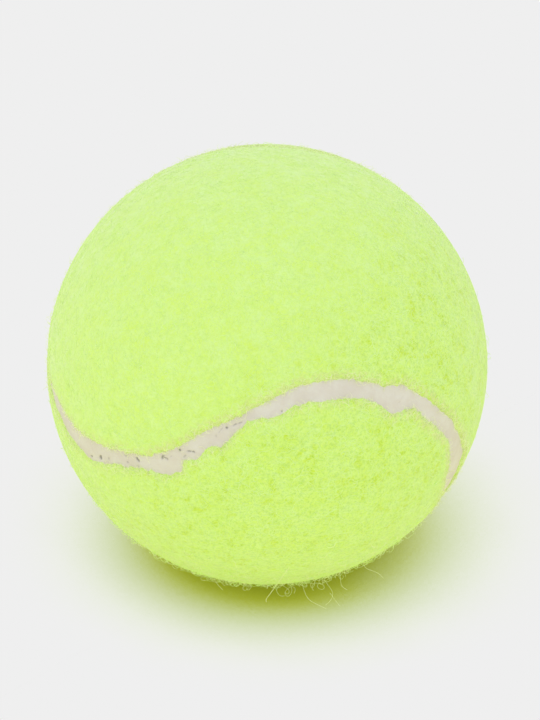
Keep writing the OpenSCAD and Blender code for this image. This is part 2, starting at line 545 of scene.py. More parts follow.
def run_tree(obj, tree, values):
    """Runs a geometry tree on an object and keeps what it gives as the object's plain mesh."""
    modifier = obj.modifiers.new(tree.name, "NODES")
    modifier.node_group = tree
    for item in tree.interface.items_tree:
        if item.in_out == "INPUT" and item.name in values:
            modifier[item.identifier] = values[item.name]
    graph = bpy.context.evaluated_depsgraph_get()
    mesh = bpy.data.meshes.new_from_object(
        obj.evaluated_get(graph), preserve_all_data_layers=True, depsgraph=graph
    )
    obj.modifiers.remove(modifier)
    mesh.name = obj.name
    obj.data = mesh


def new_piece(name, mesh):
    """An object at the origin that shows a mesh."""
    piece = bpy.data.objects.new(name, mesh)
    bpy.context.scene.collection.objects.link(piece)
    return piece


def position(tree):
    """Each point's place."""
    return node_out(tree, "GeometryNodeInputPosition")


def named_value(tree, name, kind="FLOAT"):
    """Reads a value that the mesh carries."""
    return node_out(tree, "GeometryNodeInputNamedAttribute", {"Name": name}, data_type=kind)


def keep_value(tree, geometry, name, value, domain):
    """Gives the mesh a number to carry."""
    inputs = {"Geometry": geometry, "Name": name, "Value": value}
    return node_out(tree, "GeometryNodeStoreNamedAttribute", inputs, data_type="FLOAT", domain=domain)


def noise_height(tree, place, size, detail=2.0):
    """Seeded noise from about -0.5 to 0.5 with bumps of the given size."""
    scale = work_out(tree, "DIVIDE", 1.0, size)
    inputs = {"Vector": place, "Scale": scale, "Detail": detail, "Roughness": 0.55}
    return work_out(tree, "SUBTRACT", node_out(tree, "ShaderNodeTexNoise", inputs), 0.5)


def above_floor(tree, given, geometry):
    """Presses what would reach through the floor flat on to it."""
    parts = add_node(tree, "ShaderNodeSeparateXYZ", {0: position(tree)}).outputs
    level = work_out(tree, "MAXIMUM", parts["Z"], given["Floor level"])
    place = node_out(tree, "ShaderNodeCombineXYZ", {0: parts["X"], 1: parts["Y"], 2: level})
    return node_out(tree, "GeometryNodeSetPosition", {"Geometry": geometry, "Position": place})


def raised_skin(tree, given, place, height):
    """Moves the points of the mesh's skin outwards by a height."""
    on_skin = work_out(tree, "MULTIPLY", height, named_value(tree, "skin"))
    offset = scaled(tree, vector_out(tree, "NORMALIZE", place), on_skin)
    return node_out(tree, "GeometryNodeSetPosition", {"Geometry": given["Geometry"], "Offset": offset})


def felt_relief_tree():
    """Swells, tufts, matted curls and rolled edges on a felt panel's skin."""
    relief = ("Swell height", "Swell size", "Tuft height", "Tuft size", "Curl height", "Curl size")
    edge = ("Edge drop", "Edge start", "Edge end")
    tree, given = new_shape_tree("felt_relief", *relief, *edge, "Floor level")
    place = position(tree)
    swell = noise_height(tree, place, given["Swell size"], 1.0)
    tuft = noise_height(tree, place, given["Tuft size"], 3.0)
    fold = work_out(tree, "ABSOLUTE", noise_height(tree, place, given["Curl size"], 1.0))
    curl = ramp(tree, fold, low=0.0, high=0.14, start=1.0, end=0.0)
    height = summed(
        tree, (swell, given["Swell height"]), (tuft, given["Tuft height"]), (curl, given["Curl height"])
    )
    share = ramp(tree, named_value(tree, "inside"), given["Edge start"], given["Edge end"])
    height = work_out(tree, "MULTIPLY", height, share)
    fallen = work_out(tree, "MULTIPLY", work_out(tree, "SUBTRACT", 1.0, share), given["Edge drop"])
    height = work_out(tree, "SUBTRACT", height, fallen)
    raised = raised_skin(tree, given, place, height)
    return end_shape_tree(tree, given, above_floor(tree, given, raised))


def seam_relief_tree():
    """Bumps and nicks on the seam compound's top."""
    sizes = ("Bump height", "Bump size", "Grain height", "Grain size", "Nick depth")
    tree, given = new_shape_tree("seam_relief", *sizes)
    place = position(tree)
    bump = noise_height(tree, place, given["Bump size"])
    grain = noise_height(tree, place, given["Grain size"])
    height = summed(tree, (bump, given["Bump height"]), (grain, given["Grain height"]))
    nick = work_out(tree, "MULTIPLY", named_value(tree, "nick"), given["Nick depth"])
    height = work_out(tree, "SUBTRACT", height, nick)
    return end_shape_tree(tree, given, raised_skin(tree, given, place, height))


def fibre_along(tree, curve, radius, thins_from, tip_share, section):
    """A three-sided closed fibre along a curve, thinner to its tip."""
    factor = add_node(tree, "GeometryNodeSplineParameter").outputs["Factor"]
    thickness = work_out(tree, "MULTIPLY", radius, ramp(tree, factor, thins_from, 1.0, 1.0, tip_share))
    ring = node_out(tree, "GeometryNodeCurvePrimitiveCircle", {"Resolution": 3, "Radius": 1.0})
    profile = node_out(tree, "GeometryNodeTransform", {"Geometry": ring, **section})
    inputs = {"Curve": curve, "Profile Curve": profile, "Scale": thickness, "Fill Caps": True}
    return node_out(tree, "GeometryNodeCurveToMesh", inputs)


def standing_fibre(tree, curve, radius, tip_share):
    """A fibre that stands free, with a flat side up."""
    flat_side_up = {"Rotation": (0, 0, math.pi / 2)}
    level = node_out(tree, "GeometryNodeSetCurveNormal", {"Curve": curve}, mode="Z_UP")
    return fibre_along(tree, level, radius, 0.0, tip_share, flat_side_up)


def lying_thread(tree, curve, outward, radius, tip_share):
    """A low thread, ridge up, along a curve that lies on the felt."""
    flattened = {"Scale": (0.45, 1, 1)}
    facing = node_out(tree, "GeometryNodeSetCurveNormal", {"Curve": curve, "Normal": outward}, mode="FREE")
    return fibre_along(tree, facing, radius, 0.5, tip_share, flattened)


def spiral(tree, points, turns, start, end, height=0):
    """A flat curl that rises a little: its radius grows from start to end, in millimetres."""
    inputs = {
        "Resolution": points,
        "Rotations": turns,
        "Start Radius": start * MM,
        "End Radius": end * MM,
        "Height": height * MM,
    }
    return node_out(tree, "GeometryNodeCurveSpiral", inputs)


def bow(tree, points, *places):
    """A bent fibre, from its start, two handles and its end in millimetres."""
    names = ("Start", "Start Handle", "End Handle", "End")
    inputs = {name: [n * MM for n in place] for name, place in zip(names, places)}
    inputs["Resolution"] = points
    return node_out(tree, "GeometryNodeCurvePrimitiveBezierSegment", inputs, mode="POSITION")


def random_value(tree, low, high, seed, kind="FLOAT"):
    """A seeded random number for each point."""
    made = add_node(tree, "FunctionNodeRandomValue", data_type=kind)
    sockets = [s for s in made.inputs if s.enabled]
    sockets[0].default_value = low
    sockets[1].default_value = high
    tree.links.new(seed, made.inputs["Seed"])
    return next(s for s in made.outputs if s.enabled)


def seeds_from(tree, seed, count):
    """Different whole numbers, all from the one seed that the tree is given."""
    apart = 100.0
    return [work_out(tree, "ADD", seed, apart * (n + 1)) for n in range(count)]


def planted(tree, points, kinds, rotation, scale, seed):
    """Real copies of the kinds of fibre, one on each point, with a tone of its own."""
    joined = add_node(tree, "GeometryNodeJoinGeometry")
    for fibre in kinds:
        single = node_out(tree, "GeometryNodeGeometryToInstance", {0: fibre})
        tree.links.new(single, joined.inputs[0])
    inputs = {
        "Points": points,
        "Instance": joined.outputs[0],
        "Pick Instance": True,
        "Instance Index": random_value(tree, 0, len(kinds) - 1, seed, "INT"),
        "Rotation": rotation,
        "Scale": scale,
    }
    placed = node_out(tree, "GeometryNodeInstanceOnPoints", inputs)
    toned = keep_value(tree, placed, "tone", random_value(tree, 0.0, 1.0, seed), "INSTANCE")
    return node_out(tree, "GeometryNodeRealizeInstances", {"Geometry": toned})


def scattered(tree, given, seed, density_factor):
    """Points on a panel's skin, with the felt's outward direction at each."""
    nearly_whole = 0.99
    inputs = {
        "Mesh": given["Geometry"],
        "Selection": work_out(tree, "GREATER_THAN", named_value(tree, "skin"), nearly_whole),
        "Density": work_out(tree, "MULTIPLY", given["Density"], density_factor),
        "Seed": seed,
    }
    made = add_node(tree, "GeometryNodeDistributePointsOnFaces", inputs, distribute_method="RANDOM")
    return made.outputs["Points"], made.outputs["Normal"]


def leaned(tree, normal, spin, tilt):
    """A rotation that stands on the felt, turned about it and then tipped."""
    rotation = node_out(tree, "FunctionNodeAlignRotationToVector", {"Vector": normal}, axis="Z")
    for axis, angle in (((0, 0, 1), spin), ((1, 0, 0), tilt)):
        turn = node_out(tree, "FunctionNodeAxisAngleToRotation", {"Axis": axis, "Angle": angle})
        inputs = {"Rotation": rotation, "Rotate By": turn}
        rotation = node_out(tree, "FunctionNodeRotateRotation", inputs, rotation_space="LOCAL")
    return rotation


def nap_tree():
    """Short curled threads matted over a panel's skin, which they follow."""
    thread_points = 8
    bare_rim = 0.5 * MM
    weave_size = 0.7 * MM
    sizes = ("Density", "Fibre radius", "Lift", "Weave", "Floor level")
    tree, given = new_shape_tree("nap", *sizes, seeded=True)
    seeds = seeds_from(tree, given["Seed"], 4)
    away = ramp(tree, named_value(tree, "inside"), 0.0, bare_rim)
    points, normal = scattered(tree, given, seeds[0], away)
    curves = (
        spiral(tree, 9, 0.42, 0.9, 1.3),
        spiral(tree, 8, 0.7, 0.5, 0.8),
        spiral(tree, 7, 1.15, 0.3, 0.5),
        bow(tree, 7, (-1.2, 0, 0), (-0.1, 0.9, 0), (0, -1.1, 0), (1.3, 0.2, 0)),
        bow(tree, 7, (-1.1, -0.5, 0), (-0.3, -1.1, 0), (0.9, 0, 0), (1.0, 0.7, 0)),
    )
    even = [
        node_out(tree, "GeometryNodeResampleCurve", {"Curve": curve, "Count": thread_points}, mode="COUNT")
        for curve in curves
    ]
    rotation = leaned(tree, normal, random_value(tree, 0.0, 2 * math.pi, seeds[1]), 0.0)
    size = random_value(tree, 0.6, 1.35, seeds[3])
    real = planted(tree, points, even, rotation, size, seeds[0])
    place = position(tree)
    inputs = {0: given["Geometry"], "Sample Position": place}
    found = node_out(tree, "GeometryNodeProximity", inputs)
    outward = vector_out(tree, "NORMALIZE", found)
    weave = noise_height(tree, place, weave_size, 1.0)
    lift = summed(tree, (named_value(tree, "tone"), given["Lift"]), (weave, given["Weave"]))
    laid = vector_out(tree, "ADD", found, scaled(tree, outward, lift))
    lying = node_out(tree, "GeometryNodeSetPosition", {"Geometry": real, "Position": laid})
    inputs = {"Mesh": given["Geometry"], "Value": named_value(tree, "fray"), "Sample Position": place}
    beside = node_out(tree, "GeometryNodeSampleNearestSurface", inputs, data_type="FLOAT")
    told = keep_value(tree, lying, "fray", beside, "POINT")
    threads = lying_thread(tree, told, outward, given["Fibre radius"], tip_share=0.4)
    return end_shape_tree(tree, given, above_floor(tree, given, threads), smooth=False)


def fringe_tree():
    """Frayed fibres on a panel's edge, most of which lean over the seam."""
    tree, given = new_shape_tree("fringe", "Density", "Fibre radius", "Floor level", seeded=True)
    seeds = seeds_from(tree, given["Seed"], 4)
    over_rim = 0.05 * MM
    clump_size = 4 * MM
    inside = named_value(tree, "inside")
    near = ramp(tree, inside, low=0.1 * MM, high=1.2 * MM, start=1.0, end=0.0)
    past = work_out(tree, "GREATER_THAN", inside, -over_rim)
    patches = noise_height(tree, position(tree), clump_size)
    clumps = ramp(tree, patches, low=-0.2, high=0.2, start=0.25, end=1.75)
    density = work_out(tree, "MULTIPLY", work_out(tree, "MULTIPLY", near, past), clumps)
    points, normal = scattered(tree, given, seeds[0], density)
    root = (-0.2, 0, 0)
    curves = (
        bow(tree, 6, root, (0.4, 0, 0.12), (0.8, 0.3, 0.08), (1.0, 0.5, -0.1)),
        bow(tree, 6, root, (0.3, 0.3, 0.1), (0.8, -0.4, 0.1), (0.9, 0, -0.1)),
        bow(tree, 6, root, (0.3, -0.4, 0.1), (0.7, -0.5, 0.1), (0.8, 0.3, 0)),
        spiral(tree, 8, 0.8, 0.25, 0.4, 0.08),
        spiral(tree, 8, 0.6, 0.4, 0.6, 0.1),
    )
    kinds = [standing_fibre(tree, curve, given["Fibre radius"], tip_share=0.4) for curve in curves]
    astray = 1.6
    toward = named_value(tree, "toward_seam", "FLOAT_VECTOR")
    stray = random_value(tree, [-astray] * 3, [astray] * 3, seeds[1], "FLOAT_VECTOR")
    heading = vector_out(tree, "ADD", toward, stray)
    facing = node_out(tree, "FunctionNodeAlignRotationToVector", {"Vector": heading}, axis="X")
    inputs = {"Rotation": facing, "Vector": normal}
    rotation = node_out(tree, "FunctionNodeAlignRotationToVector", inputs, axis="Z", pivot_axis="X")
    size = random_value(tree, 0.5, 1.3, seeds[2])
    real = planted(tree, points, kinds, rotation, size, seeds[3])
    return end_shape_tree(tree, given, above_floor(tree, given, real), smooth=False)


def loose_tree():
    """Thin curls that stand off the felt, most of them on the ball's underside."""
    tree, given = new_shape_tree("loose_curls", "Density", "Fibre radius", "Floor level", seeded=True)
    seeds = seeds_from(tree, given["Seed"], 5)
    height = add_node(tree, "ShaderNodeSeparateXYZ", {0: position(tree)}).outputs["Z"]
    low = ramp(tree, height, low=-28 * MM, high=-12 * MM, start=1.0, end=0.04)
    points, normal = scattered(tree, given, seeds[0], low)
    root = (0, 0, 0)
    curves = (
        spiral(tree, 8, 1.3, 0.2, 0.42, 0.3),
        spiral(tree, 9, 0.9, 0.32, 0.55, 0.4),
        bow(tree, 8, root, (0.2, 0.5, 0.7), (1.1, -0.5, 0.8), (1.4, 0.2, 0.5)),
        bow(tree, 8, root, (0.2, -0.5, 0.6), (0.8, 0.6, 1.0), (1.2, 0, 0.1)),
    )
    kinds = [standing_fibre(tree, curve, given["Fibre radius"], tip_share=0.5) for curve in curves]
    steepest = 1.3
    spin = random_value(tree, 0.0, 2 * math.pi, seeds[1])
    tilt = random_value(tree, -steepest, steepest, seeds[2])
    size = random_value(tree, 0.5, 1.2, seeds[3])
    real = planted(tree, points, kinds, leaned(tree, normal, spin, tilt), size, seeds[4])
    return end_shape_tree(tree, given, above_floor(tree, given, real), smooth=False)


def plain_surface(name, roughness, shine):
    """A material with its shader, and the place on the object that its patterns read."""
    material = bpy.data.materials.new(name)
    material.use_nodes = True
    tree = material.node_tree
    shader = tree.nodes["Principled BSDF"]
    shader.inputs["Roughness"].default_value = roughness
    shader.inputs["Specular IOR Level"].default_value = shine
    place = add_node(tree, "ShaderNodeTexCoord").outputs["Object"]
    return material, tree, shader, place


def stored_number(tree, name):
    """Reads a number that the mesh carries, in a material."""
    return add_node(tree, "ShaderNodeAttribute", attribute_name=name).outputs["Fac"]


def surface_noise(tree, place, size, detail=2.0, roughness=0.6, distortion=0.0):
    """Noise for a material, with bumps of the given size."""
    inputs = {
        "Vector": place,
        "Scale": 1 / size,
        "Detail": detail,
        "Roughness": roughness,
        "Distortion": distortion,
    }
    return node_out(tree, "ShaderNodeTexNoise", inputs)


def patchy(tree, place, size, detail=3.0, roughness=0.6, levels=(0.3, 0.7), values=(0.0, 1.0)):
    """Patches of the given size: noise taken from two of its levels to two values."""
    return ramp(tree, surface_noise(tree, place, size, detail, roughness), *levels, *values)


def blended(tree, factor, first, second):
    """Two colours mixed by a factor."""
    made = add_node(tree, "ShaderNodeMix", data_type="RGBA")
    for key, value in ((0, factor), (6, first), (7, second)):
        if isinstance(value, bpy.types.NodeSocket):
            tree.links.new(value, made.inputs[key])
        else:
            made.inputs[key].default_value = value if key == 0 else (*value[:3], 1)
    return made.outputs[2]


def shaded(colour, shares):
    """A colour with each of its channels taken down to a share."""
    return tuple(channel * share for channel, share in zip(colour, shares))


def paint(tree, shader, colour):
    """Gives the shader its colour."""
    tree.links.new(colour, shader.inputs["Base Color"])


def raised_by(tree, shader, height, distance, strength=0.5):
    """Lets a height move the shader's normal."""
    inputs = {"Height": height, "Distance": distance, "Strength": strength}
    tree.links.new(node_out(tree, "ShaderNodeBump", inputs), shader.inputs["Normal"])


def soft_sheen(shader, weight, roughness):
    """The pale bloom of standing fibres at a grazing angle."""
    shader.inputs["Sheen Weight"].default_value = weight
    shader.inputs["Sheen Roughness"].default_value = roughness
    shader.inputs["Sheen Tint"].default_value = (0.93, 0.96, 1, 1)


def matted_threads(tree, place, size, width, shift):
    """Thin curling threads: where noise crosses its middle."""
    moved = vector_out(tree, "ADD", place, shift)
    value = surface_noise(tree, moved, size, detail=1.5, roughness=0.5, distortion=0.6)
    away = work_out(tree, "ABSOLUTE", work_out(tree, "SUBTRACT", value, 0.5))
    return ramp(tree, away, 0.0, width, start=1.0, end=0.0)


def shaded_side_share(tree, place):
    """How far a place lies on the ball's right and lower side, away from the light, where the felt and its
    fibres get most of their painted shade: a little on top, fully to the right and below.
    """
    rightwards = 0.77
    parts = add_node(tree, "ShaderNodeSeparateXYZ", {0: place}).outputs
    slope = work_out(tree, "SUBTRACT", work_out(tree, "MULTIPLY", parts["X"], rightwards), parts["Z"])
    return ramp(tree, slope, low=-28 * MM, high=3 * MM, start=0.12, end=1.0)


def beside_edge(tree, place, colour, bleached):
    """Turns a colour to a bleached one beside the seam, in patches."""
    patches = patchy(tree, place, 0.7 * MM, 4.0, 0.75, levels=(0.40, 0.58), values=(0.0, 1.4))
    share = work_out(tree, "MULTIPLY", stored_number(tree, "fray"), patches)
    return blended(tree, share, colour, bleached)


def felt_material():
    """Dense yellow-green wool, matted in fine curling threads, with painted shade in small pits and on the
    threads, most of it on the ball's right and lower side, away from the light.
    """
    look = bpy.context.scene.felt_look
    material, tree, shader, place = plain_surface("yellow_green_felt", roughness=0.95, shine=0.1)
    threads = matted_threads(tree, place, 1.1 * MM, 0.06, (0.0, 0.0, 0.0))
    for size, width, shift in ((0.8, 0.07, (0.31, 0.17, 0.05)), (1.5, 0.04, (0.11, 0.43, 0.27))):
        threads = work_out(tree, "MAXIMUM", threads, matted_threads(tree, place, size * MM, width, shift))
    thread_share = 0.35
    fine_share = 0.25
    fine = surface_noise(tree, place, 0.45 * MM, 3.0)
    mottle = patchy(tree, place, 2.6 * MM, values=(0.1, 0.5))
    pale = work_out(tree, "MULTIPLY_ADD", threads, thread_share, mottle)
    pale = work_out(tree, "MULTIPLY_ADD", work_out(tree, "SUBTRACT", fine, 0.5), fine_share, pale)
    colour = blended(tree, pale, look.deep_colour, look.pale_colour)
    shaded_side = shaded_side_share(tree, place)
    # Painted shade: small pits between threads, darker and more saturated, mostly on the side away from the
    # light.
    patches = patchy(tree, place, 3.5 * MM, 2.0, levels=(0.35, 0.65), values=(0.2, 1.3))
    holes = patchy(tree, place, 1.2 * MM, 4.0, 0.7, levels=(0.36, 0.52), values=(1.0, 0.15))
    pits = work_out(tree, "MULTIPLY", work_out(tree, "MULTIPLY", holes, patches), shaded_side)
    colour = beside_edge(tree, place, blended(tree, pits, colour, look.pit_shade_colour), look.edge_colour)
    # Painted shade on the threads, deeper in red and blue than in green, on the same side.
    thread_shade = patchy(tree, place, 0.4 * MM, 4.0, 0.75, levels=(0.38, 0.56), values=(0.2, 0.0))
    least_in_green = (1.0, 0.6, 1.0)
    shade = scaled(tree, least_in_green, work_out(tree, "MULTIPLY", thread_shade, shaded_side))
    shade = vector_out(tree, "SUBTRACT", (1, 1, 1), shade)
    paint(tree, shader, vector_out(tree, "MULTIPLY", colour, shade))
    raised_by(tree, shader, work_out(tree, "MULTIPLY_ADD", threads, 0.6, fine), 0.1 * MM)
    soft_sheen(shader, weight=0.6, roughness=0.5)
    return material


def fibre_material(name, first, second, sheen, edges=None):
    """Wool and nylon fibres, each in a tone of its own between two colours, and bleached beside the seam."""
    middle = 0.52
    contrast = 1.7
    material, tree, shader, place = plain_surface(name, roughness=0.85, shine=0.15)
    tone = stored_number(tree, "tone")
    cloud = patchy(tree, place, 3 * MM, values=(-0.15, 0.15))
    fine = patchy(tree, place, 0.9 * MM, 2.0, values=(-0.12, 0.12))
    # The fibres' tones spread wider apart on the ball's right and lower side, away from the light: painted
    # light and shade on them there.
    spread = work_out(tree, "MULTIPLY", work_out(tree, "SUBTRACT", tone, middle), shaded_side_share(tree, place))
    spread = work_out(tree, "MULTIPLY_ADD", spread, contrast, 0.5)
    pale = work_out(tree, "ADD", work_out(tree, "ADD", cloud, fine), spread)
    colour = blended(tree, pale, first, second)
    if edges:
        bleached = blended(tree, ramp(tree, tone, 0.2, 0.8), *edges)
        colour = beside_edge(tree, place, colour, bleached)
    paint(tree, shader, colour)
    soft_sheen(shader, sheen, roughness=0.4)
    return material


def seam_material():
    """Pale cured compound with a faint cloud, small stains and grey nicks."""
    look = bpy.context.scene.seam_look
    material, tree, shader, place = plain_surface("pale_seam_compound", roughness=0.72, shine=0.3)
    grain = surface_noise(tree, place, 0.35 * MM)
    cloud = patchy(tree, place, 3 * MM)
    cloud_shares = (0.93, 0.90, 0.88)
    stain_shares = (0.95, 0.91, 0.89)
    colour = blended(tree, cloud, look.colour, shaded(look.colour, cloud_shares))
    stains = patchy(tree, place, 0.9 * MM, 4.0, 0.7, levels=(0.48, 0.66), values=(0.0, 0.6))
    colour = blended(tree, stains, colour, shaded(look.colour, stain_shares))
    uneven = work_out(tree, "SUBTRACT", grain, 0.5)
    nick = work_out(tree, "MULTIPLY_ADD", uneven, 0.5, stored_number(tree, "nick"))
    paint(tree, shader, blended(tree, ramp(tree, nick, 0.1, 0.8), colour, look.nick_colour))
    swells = surface_noise(tree, place, 0.9 * MM, roughness=0.5)
    raised_by(tree, shader, work_out(tree, "MULTIPLY_ADD", grain, 0.5, swells), 0.12 * MM)
    return material


def rubber_material():
    """Dark moulded rubber with a fine uneven skin."""
    material, tree, shader, place = plain_surface("moulded_core_rubber", roughness=0.7, shine=0.35)
    cloud = patchy(tree, place, 4 * MM, 4.0)
    paint(tree, shader, blended(tree, cloud, (0.05, 0.05, 0.055), (0.09, 0.09, 0.095)))
    raised_by(tree, shader, surface_noise(tree, place, 0.5 * MM, 3.0), 0.1 * MM)
    return material


def cement_material(name, thin, thick, size):
    """Dried rubber cement, patchy where it lies thicker."""
    material, tree, shader, place = plain_surface(name, roughness=0.5, shine=0.4)
    patches = surface_noise(tree, place, size, detail=4.0, roughness=0.65, distortion=0.4)
    paint(tree, shader, blended(tree, ramp(tree, patches, 0.35, 0.65), thin, thick))
    raised_by(tree, shader, patches, 0.1 * MM, strength=0.6)
    return material


def carry(piece, record_slot, *nodes):
    """Hangs a piece on the frame and hides the parts that it replaces."""
    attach(piece, "root")
    if nodes:
        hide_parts(*nodes)


class BALL_OT_dress_core(bpy.types.Operator):
    """Gives the core, its joint and the cement coat their materials"""

    bl_idname = "ball.dress_core"
    bl_label = "Dress the core"

    def execute(self, context):
        rubber = rubber_material()
        joint = cement_material("joint_cement", (0.40, 0.27, 0.14), (0.30, 0.19, 0.09), 1.5 * MM)
        coat = cement_material("cover_cement", (0.66, 0.54, 0.36), (0.55, 0.43, 0.26), 4 * MM)
        finishes = {
            "lower_half_shell": rubber,
            "upper_half_shell": rubber,
            "core_joint_cement": joint,
            "cover_cement_coat": coat,
        }
        for node, material in finishes.items():
            mesh = frame["nodes"][node].data
            mesh.materials.clear()
            mesh.materials.append(material)
        return {"FINISHED"}


class BALL_OT_cut_felt(bpy.types.Operator):
    """Makes the two felt panels with their relief and rolled edges"""

    bl_idname = "ball.cut_felt"
    bl_label = "Cut the felt"

    def execute(self, context):
        look = context.scene.felt_look
        below_seam = 0.2 * MM
        fine = round_ball(divisions=8)
        coarse = round_ball(divisions=6)
        tree = felt_relief_tree()
        values = {
            "Swell height": look.swell_height,
            "Swell size": 8 * MM,
            "Tuft height": look.tuft_height,
            "Tuft size": 1.7 * MM,
            "Curl height": look.curl_height,
            "Curl size": 1.5 * MM,
            "Edge drop": context.scene.ball_form.seam_sink - look.nap_rise + below_seam,
            "Edge start": -0.4 * MM,
            "Edge end": 0.55 * MM,
            "Floor level": FLOOR_Z,
            "Material": felt_material(),
        }
        for panel, side in zip(PANELS, (1, -1)):
            name = panel + "_felt"
            piece = new_piece(name, panel_mesh(name, side, fine, coarse))
            run_tree(piece, tree, values)
            carry(piece, "felt", name + "_panel")
        return {"FINISHED"}


def even_angles(count):
    """Angles along the seam whose points lie evenly spaced."""
    fine = np.linspace(-math.pi, math.pi, 8 * count + 1)
    line = seam_course(fine)[0]
    run = np.append(0, np.cumsum(np.linalg.norm(np.diff(line, axis=0), axis=1)))
    return np.interp(np.arange(count) * run[-1] / count, run, fine)


def all_nicks():
    """The nicks that the photograph shows, and random ones on the rest of the seam."""
    shown_to = 60
    draws = 70
    rng = np.random.default_rng(5)
    nicks = list(SEAM_NICKS)
    for _ in range(draws):
        place = rng.uniform(-180, 180)
        if -shown_to < place < shown_to:
            continue
        length = rng.uniform(0.3, 1.1)
        width = rng.uniform(0.2, 0.5)
        nicks.append((place, rng.uniform(-1, 1), length, width, rng.uniform(0, 180), rng.uniform(0.2, 0.9)))
    return nicks


def nick_shares(angles, across):
    """How deep in a nick each point of the strip lies, from 0 to 1."""
    soft_rim = 1.4
    line = seam_course(angles)[0]
    step = np.linalg.norm(np.roll(line, -1, 0) - line, axis=1).mean() * BALL_R
    run = np.arange(len(angles)) * step
    shares = np.zeros(across.shape)
    for place, offset, length, width, turn, strength in all_nicks():
        along = run[:, None] - np.interp(math.radians(place), angles, run)
        aside = across - offset * MM
        c = math.cos(math.radians(turn))
        s = math.sin(math.radians(turn))
        near = ((along * c + aside * s) / (length * MM / 2)) ** 2
        near = near + ((aside * c - along * s) / (width * MM / 2)) ** 2
        shares = np.maximum(shares, strength * np.clip(soft_rim - near, 0, 1))
    return shares


class BALL_OT_lay_seam(bpy.types.Operator):
    """Makes the strip of seam compound between the panels"""

    bl_idname = "ball.lay_seam"
    bl_label = "Lay the seam"

    def execute(self, context):
        look = context.scene.seam_look
        stations = 1700
        steps = 22
        tuck = 0.5 * MM
        angles = even_angles(stations)
        line, aside = seam_course(angles)
        high = seam_width(angles, 1)[:, None] + tuck
        low = seam_width(angles, -1)[:, None] + tuck
        across = -low + (high + low) * np.linspace(0, 1, steps + 1)
        turn = across[..., None] / BALL_R
        rows = line[:, None] * np.cos(turn) + aside[:, None] * np.sin(turn)
        top = BALL_R - context.scene.ball_form.seam_sink
        points = np.concatenate([rows * top, rows[:, [-1, 0]] * FELT_BASE_R], axis=1)
        wide = steps + 3
        skin = np.zeros((stations, wide))
        skin[:, 1:steps] = 1
        nicks = np.zeros((stations, wide))
        nicks[:, : steps + 1] = nick_shares(angles, across)
        here = np.arange(stations)[:, None] * wide
        there = np.roll(here, -1, 0)
        column = np.arange(wide)[None, :]
        after = np.roll(column, -1, 1)
        faces = np.stack([here + column, there + column, there + after, here + after], -1).reshape(-1, 4)
        values = {"skin": skin.ravel(), "nick": nicks.ravel()}
        piece = new_piece("seam_strip", mesh_of("seam_strip", points.reshape(-1, 3), faces, values))
        numbers = {
            "Bump height": look.bump_height,
            "Bump size": 2.2 * MM,
            "Grain height": 0.07 * MM,
            "Grain size": 0.6 * MM,
            "Nick depth": look.nick_depth,
            "Material": seam_material(),
        }
        run_tree(piece, seam_relief_tree(), numbers)
        carry(piece, "seam_compound", "seam_rubber")
        return {"FINISHED"}


def skin_area(panel):
    """The area of a panel's skin, as its share of the whole panel's area."""
    mesh = bpy.data.objects[panel + "_felt"].data
    areas = np.zeros(len(mesh.polygons))
    mesh.polygons.foreach_get("area", areas)
    return areas.sum() * BALL_R**2 / (BALL_R**2 + FELT_BASE_R**2)


def grow(panel, name, tree, values):
    """Grows one piece of fibres on a felt panel."""
    piece = new_piece(f"{panel}_{name}", bpy.data.objects[panel + "_felt"].data)
    run_tree(piece, tree, {**values, "Floor level": FLOOR_Z})
    carry(piece, "felt")


class BALL_OT_raise_nap(bpy.types.Operator):
    """Covers both panels with short matted fibres"""

    bl_idname = "ball.raise_nap"
    bl_label = "Raise the nap"

    def execute(self, context):
        look = context.scene.nap_look
        worn = (look.tan_tone, look.cream_tone)
        material = fibre_material("nap_fibres", look.yellow_tone, look.pale_tone, sheen=0.75, edges=worn)
        tree = nap_tree()
        for number, panel in enumerate(PANELS):
            values = {
                "Density": look.fibres / skin_area(panel),
                "Fibre radius": look.fibre_radius,
                "Lift": 0.02 * MM,
                "Weave": 0.03 * MM,
                "Material": material,
            }
            for part in range(look.pieces):
                seed = 1000 * (number + 1) + 10 * part
                grow(panel, f"nap_{part + 1}", tree, {**values, "Seed": seed})
        return {"FINISHED"}


class BALL_OT_fray_edges(bpy.types.Operator):
    """Frays the panels' edges along the seam"""

    bl_idname = "ball.fray_edges"
    bl_label = "Fray the edges"

    def execute(self, context):
        look = context.scene.nap_look
        edge_length = 335 * MM
        frayed_width = 0.95 * MM
        values = {
            "Density": look.fringe_fibres / (edge_length * frayed_width),
            "Fibre radius": 0.7 * look.fibre_radius,
            "Material": fibre_material("fringe_fibres", look.fringe_tone, look.white_tone, sheen=0.4),
        }
        tree = fringe_tree()
        for number, panel in enumerate(PANELS):
            grow(panel, "fringe", tree, {**values, "Seed": 5000 + number})
        return {"FINISHED"}


class BALL_OT_loosen_curls(bpy.types.Operator):
    """Lets thin curls stand off the felt"""

    bl_idname = "ball.loosen_curls"
    bl_label = "Loosen curls"

    def execute(self, context):
        look = context.scene.nap_look
        underside_factor = 5
        values = {
            "Fibre radius": 0.85 * look.fibre_radius,
            "Material": fibre_material("loose_fibres", look.pale_tone, look.cream_tone, sheen=0.6),
        }
        tree = loose_tree()
        for number, panel in enumerate(PANELS):
            density = underside_factor * look.loose_curls / skin_area(panel)
            grow(panel, "loose_curls", tree, {**values, "Density": density, "Seed": 7000 + number})
        return {"FINISHED"}


def view_axes(elevation):
    """The photograph's directions to the right, down and towards the camera."""
    c = math.cos(elevation)
    s = math.sin(elevation)
    return Vector((1, 0, 0)), Vector((0, -s, -c)), Vector((0, -c, s))


